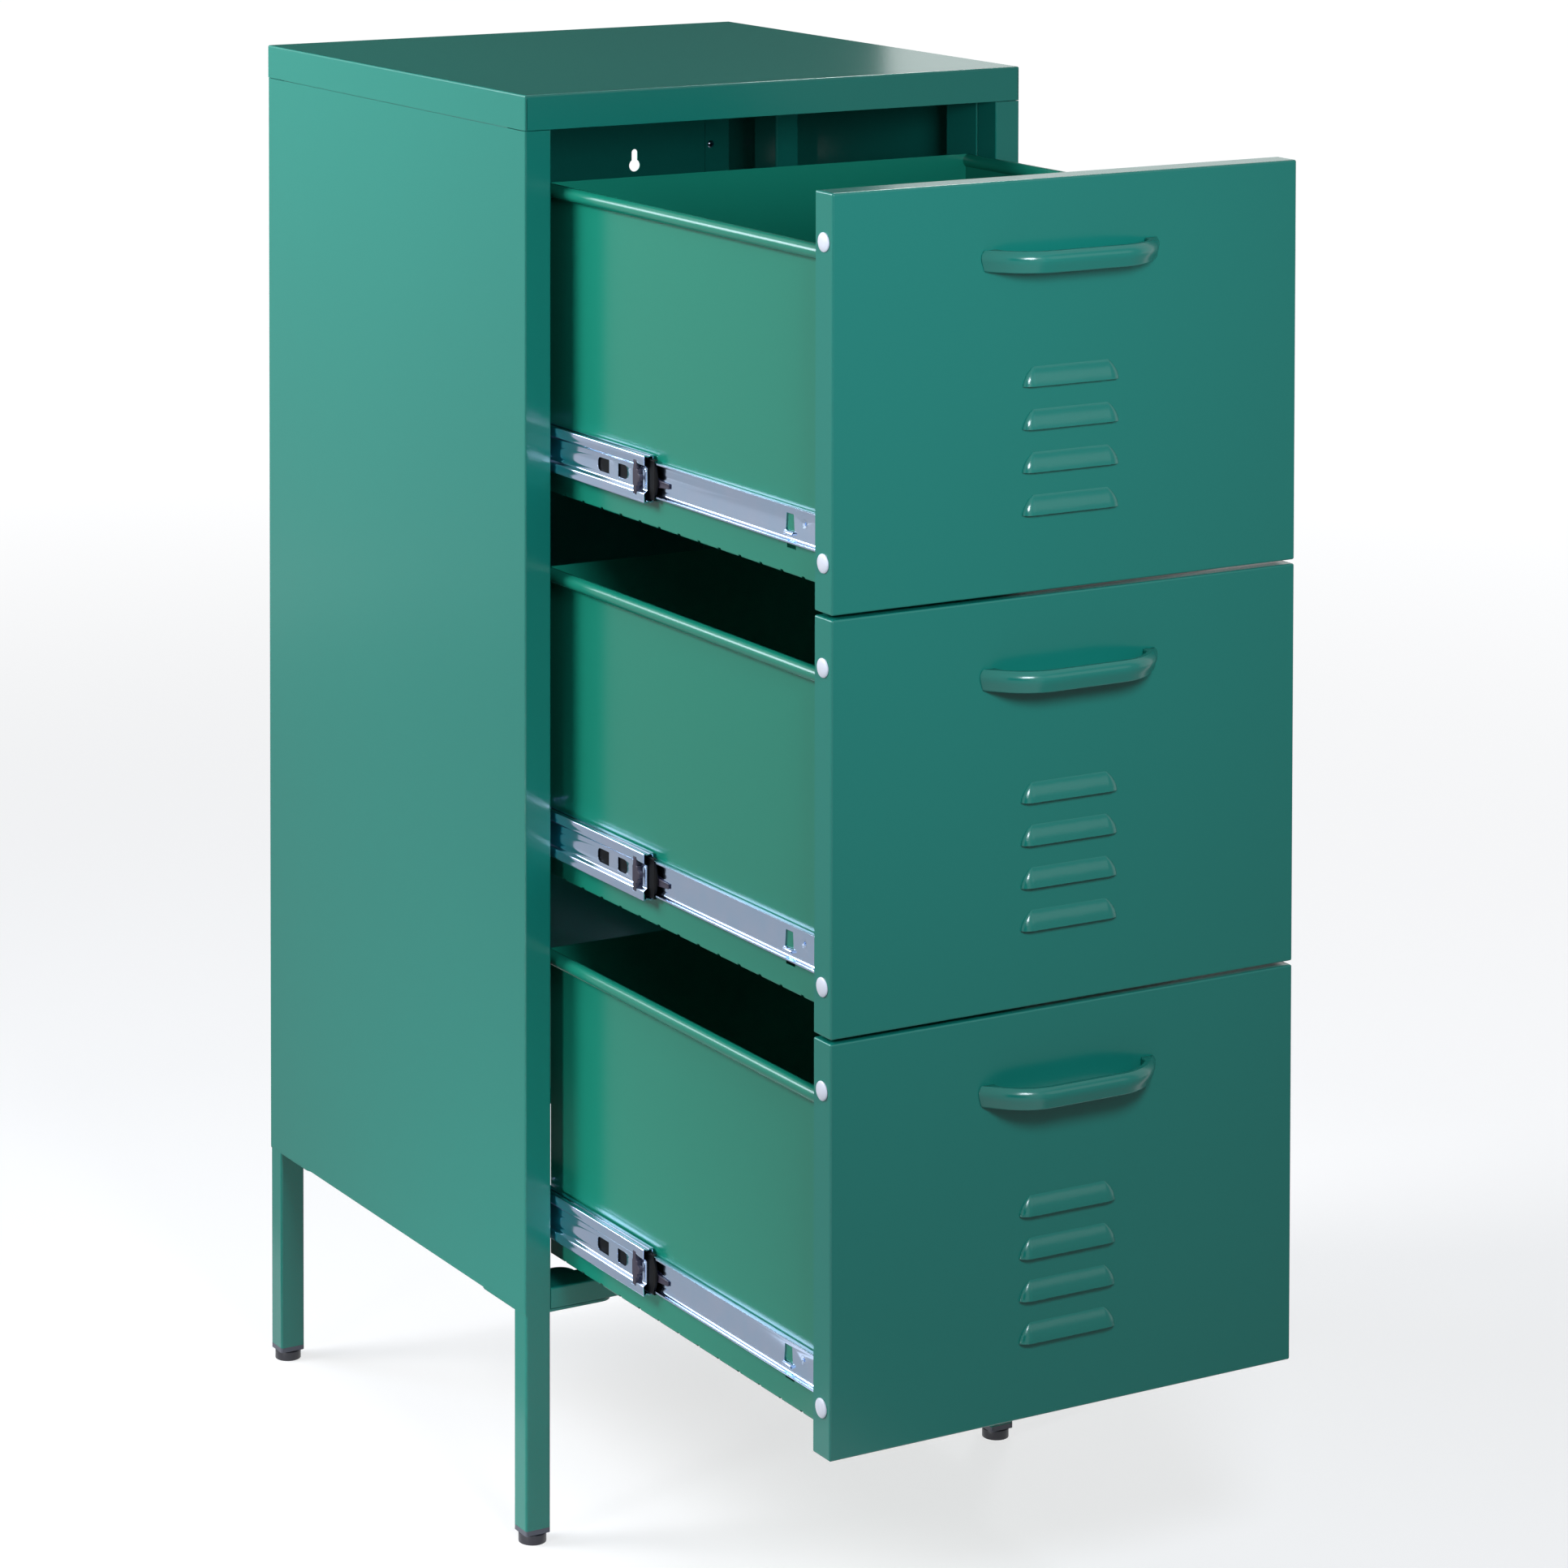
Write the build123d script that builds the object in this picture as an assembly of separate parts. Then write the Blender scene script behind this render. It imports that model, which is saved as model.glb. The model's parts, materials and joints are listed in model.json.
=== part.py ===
from build123d import *
import os

# A green sheet-steel cabinet with three drawers on four legs, its drawers pulled
# right out on ball-bearing slides. Millimetres. X runs across the cabinet from its
# centre, Y from the front to the back, and Z up from the floor. The shapes are drawn
# with Y = 0 on the cabinet's front plane, and moved by frameShift when written.

# Driving dimensions of the cabinet
cabinetWidth = 460.0
cabinetDepth = 460.0
cabinetHeight = 1135.0
cabinetSheet = 1.0
bendRadius = 1.5
lidFlange = 27.5
lidSeam = 0.5
bodyBottom = 184.0
stileWidth = 23.0
stileReturn = 26.0
rearFlange = 26.0
railHeight = 17.0

# Driving dimensions of the legs and feet
legWidth = 22.0
legDepth = 20.0
legWall = 1.5
legInset = 1.0
legRecess = 0.3
legPlateSize = 80.0
legPlateThickness = 2.0
capThickness = 4.0
footRadius = 11.0
footThickness = 7.4
footShoulder = 0.6

# Driving dimensions of the drawers
drawerTravel = 400.0
drawerPitch = 301.0
frontWidth = 406.0
frontHeight = 298.0
frontDepth = 22.0
frontSheet = 1.0
frontTop = 1102.5
drawerSheet = 0.8
boxLength = 423.0
boxHeight = 242.5
boxDrop = 39.5
beadRadius = 5.5
handleWidth = 154.0
handleReach = 28.0
handleHeight = 16.0
handleDrop = 56.5
louvreWidth = 84.0
louvreHeight = 14.0
louvreReach = 5.0
louvreRoof = 2.0
louvreEnd = 9.5
louvrePitch = 31.0
firstLouvre = 149.0
louvreCount = 4

# Driving dimensions of the slides. Each slide lies in the 13 mm between an upright
# and the drawer's side, and is drawn from the upright's face inwards
slideSpace = 13.0
slideLength = 400.0
slideSheet = 1.2
slideDrop = 244.5
slideStart = 24.0
cabinetMemberHeight = 45.5
middleMemberHeight = 36.0
drawerMemberHeight = 26.5
middleLength = 385.0
middleTravel = 172.0

# Worked out from the driving dimensions
halfWidth = cabinetWidth / 2
openingEdge = halfWidth - stileWidth
bodyTop = cabinetHeight - lidFlange - lidSeam
drawerSide = openingEdge - slideSpace
halfFront = frontWidth / 2
openFace = -drawerTravel
boxFront = openFace + frontSheet
boxBack = boxFront + boxLength
boxTop = frontTop - boxDrop
boxBottom = boxTop - boxHeight
slideHeight = frontTop - slideDrop
legTop = bodyBottom - legPlateThickness
legBottom = footThickness + footShoulder + capThickness
legCentre = (-halfWidth + legInset + legWidth / 2, legRecess + legDepth / 2)
frameShift = (drawerTravel + handleReach - cabinetDepth) / 2 - 1

# Places of screws, holes and stamped details
panelScrewHeights = (1025.5, 645.0, 265.0)
panelScrewInset = 20.5
panelScrewRadius = 1.6
legScrewAlong = 64.0
legScrewAcross = 168.0
legScrewInset = 13.0
legHoleRadius = 2.6
keyholeOffset = 131.5
keyholeHeight = 1010.5
keyholeRadius = 5.5
keyholeSlot = 6.0
keyholeTop = 1025.0
uprightPlaces = ((28.0, 73.0), (341.0, 378.0))
middleFront = slideStart + 9 - middleTravel
ballsPerRow = 5
windowPlace = (middleFront + 29.5, middleFront + 75)
windowTab = (middleFront + 44, middleFront + 57.5)
windowHeight = 10.5
windowRound = 4.0
stopPlace = (middleFront + 8.5, middleFront + 16.5)
stopEars = (middleFront + 10.7, middleFront + 15.7)
stopHalf = 6.5
stopEarReach = 13.0
stopNose = (middleFront + 9.5, 3.6)
hookPlace = (openFace + 62, openFace + 74)
hookWindow = (-5.5, 7.0)
hookDepth = 1.5
drawerScrewPlaces = ((openFace + 48, 2.5), (openFace + 385, 0.0))
slideScrewHead = 2.6
leverPivot = -75.0
leverTip = middleFront - 23.5
nosePlan = ((7.0, 2.0), (7.0, 8.0), (7.8, 9.6), (9.1, 10.4), (9.1, 2.0))
noseHalf = 11.5
noseBow = 26.0
studHeights = (boxBottom + 40, boxTop - 50)
studAcross = drawerSide - 7
handleHole = handleWidth / 2 - 9
handleBend = handleWidth / 2 - 25
handleBar = 4.5
handleFoot = 14.0
bufferSetback = 11.0
bufferInset = 35.5
notchCount = 13
notchWidth = 4.0
notchHeight = 1.8
notchPitch = 29.1
firstNotch = openFace + 52

levelNames = ("top", "middle", "bottom")
parts = {}


# Helpers

def block(x, y, z):
    size = (x[1] - x[0], y[1] - y[0], z[1] - z[0])
    centre = ((x[0] + x[1]) / 2, (y[0] + y[1]) / 2, (z[0] + z[1]) / 2)
    return Pos(*centre) * Box(*size)


def sheetProfile(corners, thickness, radius, side):
    line = FilletPolyline(*corners, radius=radius)
    return make_face(offset(line, amount=thickness, side=side, closed=True))


def upright(profile, z):
    return Pos(0, 0, z[0]) * extrude(profile, amount=z[1] - z[0])


def rodX(x, y, z, radius):
    return Pos((x[0] + x[1]) / 2, y, z) * Rot(0, 90, 0) * Cylinder(radius, x[1] - x[0])


def rodY(x, y, z, radius):
    return Pos(x, (y[0] + y[1]) / 2, z) * Rot(90, 0, 0) * Cylinder(radius, y[1] - y[0])


def rodZ(x, y, z, radius):
    return Pos(x, y, (z[0] + z[1]) / 2) * Cylinder(radius, z[1] - z[0])


def otherSide(shape):
    return mirror(shape, about=Plane.YZ)


def group(shapes):
    solids = []
    for shape in shapes:
        solids.extend(shape.solids())
    return Compound(solids)


def bothSides(shapes):
    return group(list(shapes) + [otherSide(shape) for shape in shapes])


# Lid: a shallow pan turned down all round, its flanges meeting in open corner seams

def makeLid():
    seamWidth = 0.5
    z = (bodyTop + lidSeam, cabinetHeight)
    pan = block((-halfWidth, halfWidth), (0, cabinetDepth), z)
    topEdges = pan.edges().filter_by_position(Axis.Z, cabinetHeight, cabinetHeight)
    corners = pan.edges().filter_by(Axis.Z)
    pan = fillet(topEdges + corners, bendRadius)
    inset = cabinetSheet
    hollow = block((-halfWidth + inset, halfWidth - inset), (inset, cabinetDepth - inset),
                   (z[0], z[1] - cabinetSheet))
    pan -= hollow
    for x in (-halfWidth + 1.6, halfWidth - 1.6):
        for y in (0, cabinetDepth):
            pan -= block((x - seamWidth / 2, x + seamWidth / 2), (y - 1.4, y + 1.4),
                         (z[0], z[1] - 3))
    return pan


# Side panel: wall, front stile with its return, rear flange, bottom flange, and a
# tongue that stands up inside the lid's flange

def makeSidePanel():
    returnFace = -openingEdge
    wallEnd = cabinetDepth - cabinetSheet
    corners = [(returnFace, stileReturn), (returnFace, 0), (-halfWidth, 0),
               (-halfWidth, wallEnd), (-halfWidth + rearFlange, wallEnd)]
    profile = sheetProfile(corners, cabinetSheet, bendRadius, Side.RIGHT)
    panel = upright(profile, (bodyBottom, bodyTop))
    inside = -halfWidth + cabinetSheet
    panel += block((inside, inside + cabinetSheet), (30, cabinetDepth - 30),
                   (bodyTop - 2, cabinetHeight - 7))
    panel += block((inside - 0.5, -halfWidth + rearFlange), (stileReturn + 1, wallEnd - 0.5),
                   (bodyBottom, bodyBottom + cabinetSheet))
    for z in panelScrewHeights:
        panel -= rodY(-halfWidth + panelScrewInset, (wallEnd - 3, wallEnd + 1), z, panelScrewRadius)
    for y in (legScrewAlong, cabinetDepth - legScrewAlong):
        panel -= rodZ(-halfWidth + legScrewInset, y, (bodyBottom - 1, bodyBottom + 3), legHoleRadius)
    return panel


# Back panel: a flat sheet with two keyholes for wall screws, a bottom flange, and a
# tongue inside the lid

def makeBackPanel():
    y = (cabinetDepth - cabinetSheet, cabinetDepth)
    panel = block((-halfWidth + 1, halfWidth - 1), y, (bodyBottom, bodyTop))
    panel += block((-openingEdge + 4, openingEdge - 4), (cabinetDepth - 20, y[0] + 0.5),
                   (bodyBottom, bodyBottom + cabinetSheet))
    panel += block((-200, 200), (y[0] - cabinetSheet, y[0]), (bodyTop - 22, cabinetHeight - 7))
    through = (y[0] - 1, y[1] + 1)
    slotEnd = keyholeTop - keyholeSlot / 2
    for sign in (-1, 1):
        x = sign * keyholeOffset
        panel -= rodY(x, through, keyholeHeight, keyholeRadius)
        panel -= rodY(x, through, slotEnd, keyholeSlot / 2)
        panel -= block((x - keyholeSlot / 2, x + keyholeSlot / 2), through, (keyholeHeight, slotEnd))
        for z in panelScrewHeights:
            panel -= rodY(sign * (halfWidth - panelScrewInset), through, z, panelScrewRadius)
        panel -= rodZ(sign * legScrewAcross, cabinetDepth - legScrewInset,
                      (bodyBottom - 1, bodyBottom + 3), legHoleRadius)
    return panel


# Front rail: a channel between the stiles under the bottom drawer

def makeFrontRail():
    corners = [(stileReturn, bodyBottom), (0, bodyBottom), (0, bodyBottom + railHeight),
               (stileReturn, bodyBottom + railHeight)]
    profile = sheetProfile(corners, cabinetSheet, bendRadius, Side.RIGHT)
    rail = extrude(Plane.YZ.offset(-openingEdge) * profile, amount=2 * openingEdge)
    for x in (-legScrewAcross, legScrewAcross):
        rail -= rodZ(x, legScrewInset, (bodyBottom - 1, bodyBottom + 3), legHoleRadius)
    return rail


# Slide uprights: U-channels on the side wall that carry the slides

def makeUprights():
    pieces = []
    wall = -halfWidth + cabinetSheet
    for y in uprightPlaces:
        corners = [(wall, y[0]), (-openingEdge, y[0]), (-openingEdge, y[1]), (wall, y[1])]
        profile = sheetProfile(corners, slideSheet, bendRadius, Side.LEFT)
        channel = upright(profile, (bodyBottom + 2, bodyTop - 3))
        for step in range(len(levelNames)):
            z = slideHeight - step * drawerPitch
            channel -= rodX((-openingEdge - 3, -openingEdge + 1), (y[0] + y[1]) / 2, z, 2.0)
        pieces.append(channel)
    return group(pieces)


# Leg: a tube welded under a plate that bolts to the cabinet's bottom flanges.
# It is drawn for the front left corner

def makeLeg():
    corner = (-halfWidth + legInset, legRecess)
    x = (corner[0], corner[0] + legWidth)
    y = (corner[1], corner[1] + legDepth)
    tube = block(x, y, (legBottom, legTop))
    tube = fillet(tube.edges().filter_by(Axis.Z), 2)
    tube -= block((x[0] + legWall, x[1] - legWall), (y[0] + legWall, y[1] - legWall),
                  (legBottom, legTop))
    plate = block((corner[0], corner[0] + legPlateSize), (corner[1], corner[1] + legPlateSize),
                  (legTop, bodyBottom))
    rounded = [edge for edge in plate.edges().filter_by(Axis.Z)
               if edge.center().X > corner[0] + 1 or edge.center().Y > corner[1] + 1]
    plate = fillet(rounded, 12)
    plate -= rodZ(-halfWidth + legScrewInset, legScrewAlong, (legTop, bodyBottom), legHoleRadius)
    plate -= rodZ(-legScrewAcross, legScrewInset, (legTop, bodyBottom), legHoleRadius)
    return tube + plate


def makeLegCap():
    bottom = legBottom - capThickness
    cap = legPlug(0, (bottom, legBottom))
    cap = fillet(cap.edges().filter_by(Axis.Z), 2)
    cap += legPlug(legWall, (legBottom, legBottom + 14))
    return cap - rodZ(*legCentre, (bottom - 1, legBottom + 15), 4.1)


def legPlug(inset, z):
    across, along = legWidth / 2 - inset, legDepth / 2 - inset
    return block((legCentre[0] - across, legCentre[0] + across),
                 (legCentre[1] - along, legCentre[1] + along), z)


def makeFoot():
    disc = rodZ(*legCentre, (0, footThickness), footRadius)
    disc = chamfer(disc.edges().group_by(Axis.Z)[-1], 0.6)
    disc = fillet(disc.edges().group_by(Axis.Z)[0], 0.8)
    disc += rodZ(*legCentre, (footThickness - 1, footThickness + footShoulder), 6.5)
    return disc + rodZ(*legCentre, (footThickness, footThickness + 34), 4.0)


def atCorner(shape, right, rear):
    if rear:
        shape = Pos(0, cabinetDepth, 0) * mirror(shape, about=Plane.XZ)
    return otherSide(shape) if right else shape


# Fasteners of the cabinet

def makePanelScrews():
    screws = []
    flangeFace = cabinetDepth - 2 * cabinetSheet
    x = -halfWidth + panelScrewInset
    for z in panelScrewHeights:
        head = rodY(x, (flangeFace - 2, flangeFace), z, 3.4)
        head = fillet(head.edges().group_by(Axis.Y)[0], 1)
        screws.append(head + rodY(x, (flangeFace, cabinetDepth), z, panelScrewRadius))
    return bothSides(screws)


def makeLegScrew(x, y):
    screw = rodZ(x, y, (legTop - 3, legTop), 4.5)
    screw = fillet(screw.edges().group_by(Axis.Z)[0], 1.2)
    screw += rodZ(x, y, (legTop, bodyBottom + 8), 2.5)
    nutBottom = bodyBottom + cabinetSheet
    nut = Pos(x, y, nutBottom) * extrude(RegularPolygon(4.6, 6), amount=4)
    return [screw, nut - rodZ(x, y, (nutBottom - 1, nutBottom + 5), 2.5)]


def makeLegScrews():
    pieces = []
    for x, y in ((-halfWidth + legScrewInset, legScrewAlong), (-legScrewAcross, legScrewInset)):
        for piece in makeLegScrew(x, y):
            pieces.append(piece)
            pieces.append(atCorner(piece, False, True))
    return bothSides(pieces)


def makeSlideScrews():
    screws = []
    face = -openingEdge
    for y in uprightPlaces:
        for step in range(len(levelNames)):
            z = slideHeight - step * drawerPitch
            middle = (y[0] + y[1]) / 2
            screw = rodX((face, face + slideSheet), middle, z, 3.0)
            screws.append(screw + rodX((face - 5, face), middle, z, 2.0))
    return bothSides(screws)


# Slide sections, drawn in X and Z from the upright's face, and run along Y

def slidePiece(corners, thickness, radius, y, side=Side.RIGHT):
    placed = [(u - openingEdge, z) for u, z in corners]
    profile = sheetProfile(placed, thickness, radius, side)
    piece = extrude(Plane.XZ * profile, amount=-(y[1] - y[0]))
    return Pos(0, y[0], slideHeight) * piece


def slideBall(u, y, z, radius):
    return Pos(u - openingEdge, y, slideHeight + z) * Sphere(radius)


def makeCabinetMember():
    top = cabinetMemberHeight / 2
    corners = [(10.5, top - 2.5), (10.5, top), (0, top), (0, -top), (10.5, -top), (10.5, -top + 2.5)]
    member = slidePiece(corners, slideSheet, 1.3, (slideStart, slideStart + slideLength), Side.LEFT)
    for y in uprightPlaces:
        member -= rodX((-openingEdge, -openingEdge + slideSheet), (y[0] + y[1]) / 2, slideHeight, 3.0)
    return member


def makeOuterCage():
    y = (30.0, 200.0)
    cage = slidePiece([(9, 19.75), (1.5, 19.75), (1.5, -19.75), (9, -19.75)], 0.5, 0.8, y, Side.LEFT)
    return withBalls(cage, y, 6.0, 19.5, 1.7)


# The inner cage ends in a bowed black nose that looks out of the middle member's front

def makeInnerCage():
    y = (middleFront - 8, -20.0)
    cage = slidePiece([(9.8, 15.2), (7, 15.2), (7, -15.2), (9.8, -15.2)], 0.5, 0.8, y, Side.LEFT)
    plan = [(u - openingEdge, middleFront - reach) for u, reach in nosePlan]
    nose = upright(make_face(Polyline(*plan, close=True)),
                   (slideHeight - noseHalf, slideHeight + noseHalf))
    foremost = middleFront - max(reach for u, reach in nosePlan)
    nose &= rodX((-openingEdge, -drawerSide), foremost + noseBow, slideHeight, noseBow)
    return withBalls(cage + nose, y, 8.9, 14.95, 1.2)


def withBalls(cage, y, u, z, radius):
    balls = []
    for step in range(ballsPerRow):
        along = y[0] + 18 + step * (y[1] - y[0] - 36) / (ballsPerRow - 1)
        for height in (-z, z):
            cage -= slideBall(u, along, height, radius + 0.06)
            balls.append(slideBall(u, along, height, radius))
    return [cage] + balls


# The middle member: a recessed web between two ridges, grooved flanges for the balls,
# and near its front end a long window crossed by a tab and a slot that holds a plastic stop

def makeMiddleMember():
    top = middleMemberHeight / 2
    groove = top - 0.8
    sheet = slideSheet
    upper = [(11.4, top - 3), (11.4, top), (8, top), (7.2, groove), (5.4, groove), (4.6, top),
             (2.4, top), (2.4, 10.5), (5.4, 8.5)]
    inner = [(6.6, 9.1), (3.6, 11.1), (3.6, top - sheet), (4.1, top - sheet), (4.9, groove - sheet),
             (7.7, groove - sheet), (8.5, top - sheet), (10.2, top - sheet), (10.2, top - 3)]
    outside = upper + [(u, -z) for u, z in reversed(upper)]
    inside = [(u, -z) for u, z in reversed(inner)] + inner
    face = make_face(Polyline(*outside, *inside, close=True))
    member = extrude(Plane.XZ * Pos(-openingEdge, 0) * face, amount=-middleLength)
    member = Pos(0, middleFront, slideHeight) * member
    z = (slideHeight - windowHeight / 2, slideHeight + windowHeight / 2)
    u = (-openingEdge, -openingEdge + 9)
    window = block(u, windowPlace, z)
    window = fillet(window.edges().filter_by(Axis.X), windowRound)
    member -= window - block(u, windowTab, z)
    return member - makeStopSlot(0)


def makeStopSlot(clearance):
    depth = (-openingEdge, -openingEdge + 9)
    half, reach = stopHalf - clearance, stopEarReach - clearance
    slot = block(depth, (stopPlace[0] + clearance, stopPlace[1] - clearance),
                 (slideHeight - half, slideHeight + half))
    slot += block(depth, (stopEars[0] + clearance, stopEars[1] - clearance),
                  (slideHeight - reach, slideHeight + reach))
    return slot + rodX(depth, stopNose[0], slideHeight, stopNose[1] - clearance)


# The plastic stop fills that slot, and is trimmed to the depth of the ridges

def makeStop():
    stop = makeStopSlot(0.15)
    keep = block((-openingEdge + 3.2, -openingEdge + 6.4), (middleFront, stopPlace[1]),
                 (slideHeight - stopEarReach, slideHeight + stopEarReach))
    return stop & keep


def makeDrawerMember():
    top = drawerMemberHeight / 2
    u = (7.9, slideSpace)
    y = (slideStart - drawerTravel, slideStart - drawerTravel + slideLength)
    corners = [(u[0], top), (u[1], top), (u[1], -top), (u[0], -top)]
    member = slidePiece(corners, slideSheet, 1.5, y)
    foot = slideHeight + hookWindow[0]
    window = block((-drawerSide - 3, -drawerSide + 1), hookPlace, (foot, slideHeight + hookWindow[1]))
    member -= window
    hook = block((-drawerSide - 3.5, -drawerSide - slideSheet / 2),
                 (hookPlace[0] + 0.5, hookPlace[1] - 0.5), (foot - hookDepth, foot))
    member += hook
    for along, height in drawerScrewPlaces:
        member -= rodX((-drawerSide - 3, -drawerSide + 1), along, slideHeight + height, 2.0)
    member -= rodX((-drawerSide - 3, -drawerSide + 1), leverPivot, slideHeight, 1.6)
    return member


# Release lever: a plastic tongue in the drawer member, turning on its own pin

def makeLever():
    thickness = (-drawerSide - 3.6, -drawerSide - 1.4)
    outline = [(leverPivot + 6, 4.5), (leverPivot - 14, 4.5), (leverTip + 17, 0.0),
               (leverTip, -0.2), (leverTip, -4.2), (leverTip + 17, -6.2),
               (leverPivot - 14, -4.5), (leverPivot + 6, -4.5)]
    face = make_face(Polyline(*outline, close=True))
    lever = extrude(Plane.YZ.offset(thickness[0]) * face, amount=thickness[1] - thickness[0])
    lever = fillet(lever.edges().filter_by(Axis.X), 1.2)
    return Pos(0, 0, slideHeight) * lever + rodX((thickness[1], -drawerSide - 0.1), leverPivot,
                                                 slideHeight, 1.55)


# Drawer box: bottom and sides bent from one sheet, rolled top edges, a back, and
# front flanges that take the front's studs

def makeDrawerBox():
    side = drawerSide
    top = boxTop - beadRadius
    corners = [(-side, top), (-side, boxBottom), (side, boxBottom), (side, top)]
    profile = sheetProfile(corners, drawerSheet, bendRadius, Side.LEFT)
    y = (boxFront, boxBack)
    tray = Pos(0, y[0], 0) * extrude(Plane.XZ * profile, amount=-(y[1] - y[0]))
    beadFront = openFace + frontDepth + 1
    tray -= block((-side - 1, side + 1), (y[0] - 1, beadFront), (boxTop - 12, boxTop + 1))
    tray += block((-side + 0.3, side - 0.3), (y[1] - drawerSheet, y[1]), (boxBottom + 0.3, boxTop))
    for sign in (-1, 1):
        centre = sign * (side + 2)
        bead = rodY(centre, (beadFront, y[1]), top, beadRadius)
        tray += bead - rodY(centre, (beadFront - 1, y[1] + 1), top, beadRadius - drawerSheet)
        tray += block(sorted((sign * (side - 14), sign * (side - 0.3))), (y[0], y[0] + drawerSheet),
                      (boxBottom + 0.3, boxTop - 12))
        for z in studHeights:
            tray -= rodY(sign * studAcross, (y[0] - 1, y[0] + 2), z, 2.2)
        for along, height in drawerScrewPlaces:
            tray -= rodX(sorted((sign * (side - 2), sign * (side + 1))), along, slideHeight + height, 2.0)
        for step in range(notchCount):
            along = firstNotch + step * notchPitch
            tray -= block(sorted((sign * (side - 3), sign * (side + 1))),
                          (along - notchWidth / 2, along + notchWidth / 2),
                          (boxBottom - 1, boxBottom + notchHeight))
        tray -= block(sorted((sign * (side - 2), sign * (side + 1))), hookPlace,
                      (slideHeight - 18.5, slideHeight - 15.5))
    return tray


# Louvre: its section leaves the sheet at the top, swells outwards and ends upright at the
# lip. It is run along X, and each end is turned through a quarter and drawn out longer

def louvreSolid(reach, height, width, end):
    swell = Bezier((0, height), (-reach * 0.35, height * 0.88), (-reach * 0.95, height * 0.45), (-reach, 0))
    section = make_face(Curve() + [swell, Line((-reach, 0), (0, 0)), Line((0, 0), (0, height))])
    straight = width - 2 * end
    body = extrude(Plane.YZ.offset(-straight / 2) * section, amount=straight)
    quarter = scale(revolve(Plane.YZ * section, Axis.Z, 90), by=(end / reach, 1, 1))
    left = quarter if quarter.bounding_box().max.X < reach / 2 else otherSide(quarter)
    return body + Pos(-straight / 2, 0, 0) * left + Pos(straight / 2, 0, 0) * otherSide(left)


def makeLouvre():
    outer = louvreSolid(louvreReach, louvreHeight, louvreWidth, louvreEnd)
    return outer - louvreHollow()


def louvreHollow():
    return louvreSolid(louvreReach - frontSheet, louvreHeight - louvreRoof,
                       louvreWidth - 2 * frontSheet, louvreEnd - frontSheet)


# Drawer front: a pan turned back all round, louvred, with studs for the box

def makeDrawerFront():
    z = (frontTop - frontHeight, frontTop)
    y = (openFace, openFace + frontDepth)
    pan = block((-halfFront, halfFront), y, z)
    faceEdges = pan.edges().filter_by_position(Axis.Y, y[0], y[0])
    pan = fillet(faceEdges + pan.edges().filter_by(Axis.Y), bendRadius)
    inset = frontSheet
    pan -= block((-halfFront + inset, halfFront - inset), (y[0] + inset, y[1]),
                 (z[0] + inset, z[1] - inset))
    for x in (-halfFront + 1.8, halfFront - 1.8):
        for edge in z:
            pan -= block((x - 0.2, x + 0.2), (y[0] + 2, y[1]), (edge - 1.4, edge + 1.4))
    louvre = makeLouvre()
    opening = mirror(louvreHollow(), about=Plane.XZ)
    for step in range(louvreCount):
        place = Pos(0, y[0], frontTop - firstLouvre - step * louvrePitch)
        pan -= place * opening
        pan += place * louvre
    for sign in (-1, 1):
        flange = sorted((sign * (halfFront - 2), sign * (halfFront + 1)))
        for height in bufferHeights(z):
            pan -= rodX(flange, y[0] + bufferSetback, height, 5.0)
        for height in studHeights:
            pan += rodY(sign * studAcross, (y[0] + inset / 2, y[0] + 9), height, 2.0)
        pan -= rodY(sign * handleHole, (y[0] - 1, y[0] + 2), frontTop - handleDrop, 2.1)
    return pan


def bufferHeights(z):
    return (z[0] + bufferInset, z[1] - bufferInset)


# Side buffers: white nylon buttons snapped into the front's side flanges

def makeBuffers():
    buffers = []
    z = (frontTop - frontHeight, frontTop)
    for height in bufferHeights(z):
        y = openFace + bufferSetback
        head = rodX((-halfFront - 2.2, -halfFront), y, height, 7.0)
        head = fillet(head.edges().group_by(Axis.X)[0], 1.6)
        stem = rodX((-halfFront, -halfFront + 5), y, height, 4.9)
        buffers.append(head + stem)
    return bothSides(buffers)


# Handle: a cast bow, thicker at its two feet, each foot tapped for a screw

def makeHandle():
    half = handleWidth / 2
    reach = handleReach - handleBar
    outer = [(-half, 0), (-handleBend, -handleReach), (handleBend, -handleReach), (half, 0)]
    inner = [(half - handleFoot, 0), (handleBend - 4, -reach), (-handleBend + 4, -reach),
             (-half + handleFoot, 0)]
    outline = (FilletPolyline(*outer, radius=14) + FilletPolyline(*inner, radius=9)
               + Line(outer[-1], inner[0]) + Line(inner[-1], outer[0]))
    bow = extrude(make_face(outline), amount=handleHeight)
    front = [edge for edge in bow.edges() if isFrontEdge(edge)]
    bow = fillet(front, 2.0)
    bow = Pos(0, openFace, frontTop - handleDrop - handleHeight / 2) * bow
    for x in (-handleHole, handleHole):
        bow -= rodY(x, (openFace - 6, openFace + 1), frontTop - handleDrop, 1.6)
    return bow


# The long outer edges of the bow, above and below

def isFrontEdge(edge):
    middle = edge @ 0.5
    flat = abs(edge.bounding_box().size.Z) < 0.01
    slope = handleReach / (handleWidth / 2 - handleBend)
    reach = slope * (handleWidth / 2 - abs(middle.X))
    return flat and -middle.Y > min(reach, handleReach) - 2.0 and abs(middle.X) < handleWidth / 2 - 1


# Fasteners of a drawer: nuts on the front's studs, handle screws and slide screws

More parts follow.
